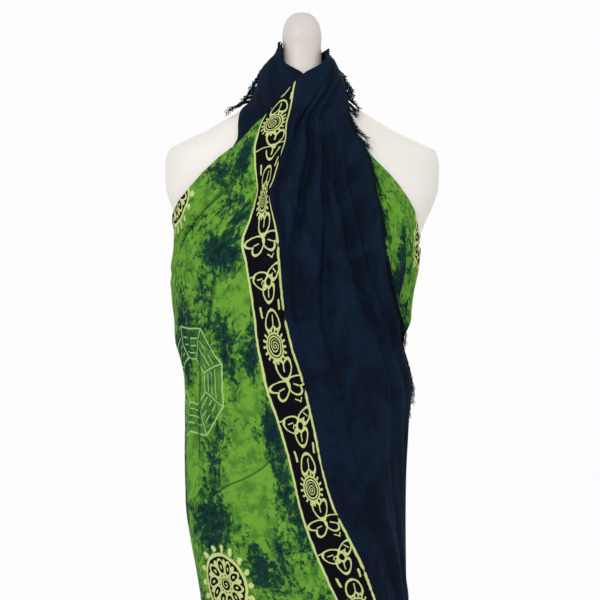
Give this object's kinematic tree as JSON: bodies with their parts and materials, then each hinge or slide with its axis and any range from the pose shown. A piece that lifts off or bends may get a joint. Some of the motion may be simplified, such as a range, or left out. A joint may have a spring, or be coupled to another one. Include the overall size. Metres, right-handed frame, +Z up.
{
  "type": "sarong on a dress form",
  "caption": "Batik sarong tied as a halter dress on a limbless torso form with a round stand.",
  "frame": {"origin": "centre of the stand's flat underside", "axes": "+Z up, -Y towards the front of the garment, +X to the viewer's right"},
  "size_m": [0.383, 0.34, 1.58],
  "materials": {
    "over_front": "soft rayon, crumple-dyed green and navy with a wax-resist print",
    "under_front": "soft rayon, crumple-dyed green and navy with a wax-resist print",
    "back_panel": "soft rayon, crumple-dyed green with a wax-resist print",
    "straps": "soft navy rayon, mottled",
    "fringe": "twisted rayon thread, dark teal and navy",
    "form": "satin off-white",
    "stand": "satin"
  },
  "bodies": {
    "root": {"over_front": "over_front", "under_front": "under_front", "back_panel": "back_panel", "over_strap": "straps", "under_strap": "straps", "knot": "straps", "tail_left": "straps", "tail_right": "straps", "fringe_over": "fringe", "fringe_under": "fringe", "form_torso": "form", "form_socket": "stand", "stand_pole": "stand", "stand_collar": "stand", "stand_base": "stand"}
  },
  "joints": []
}
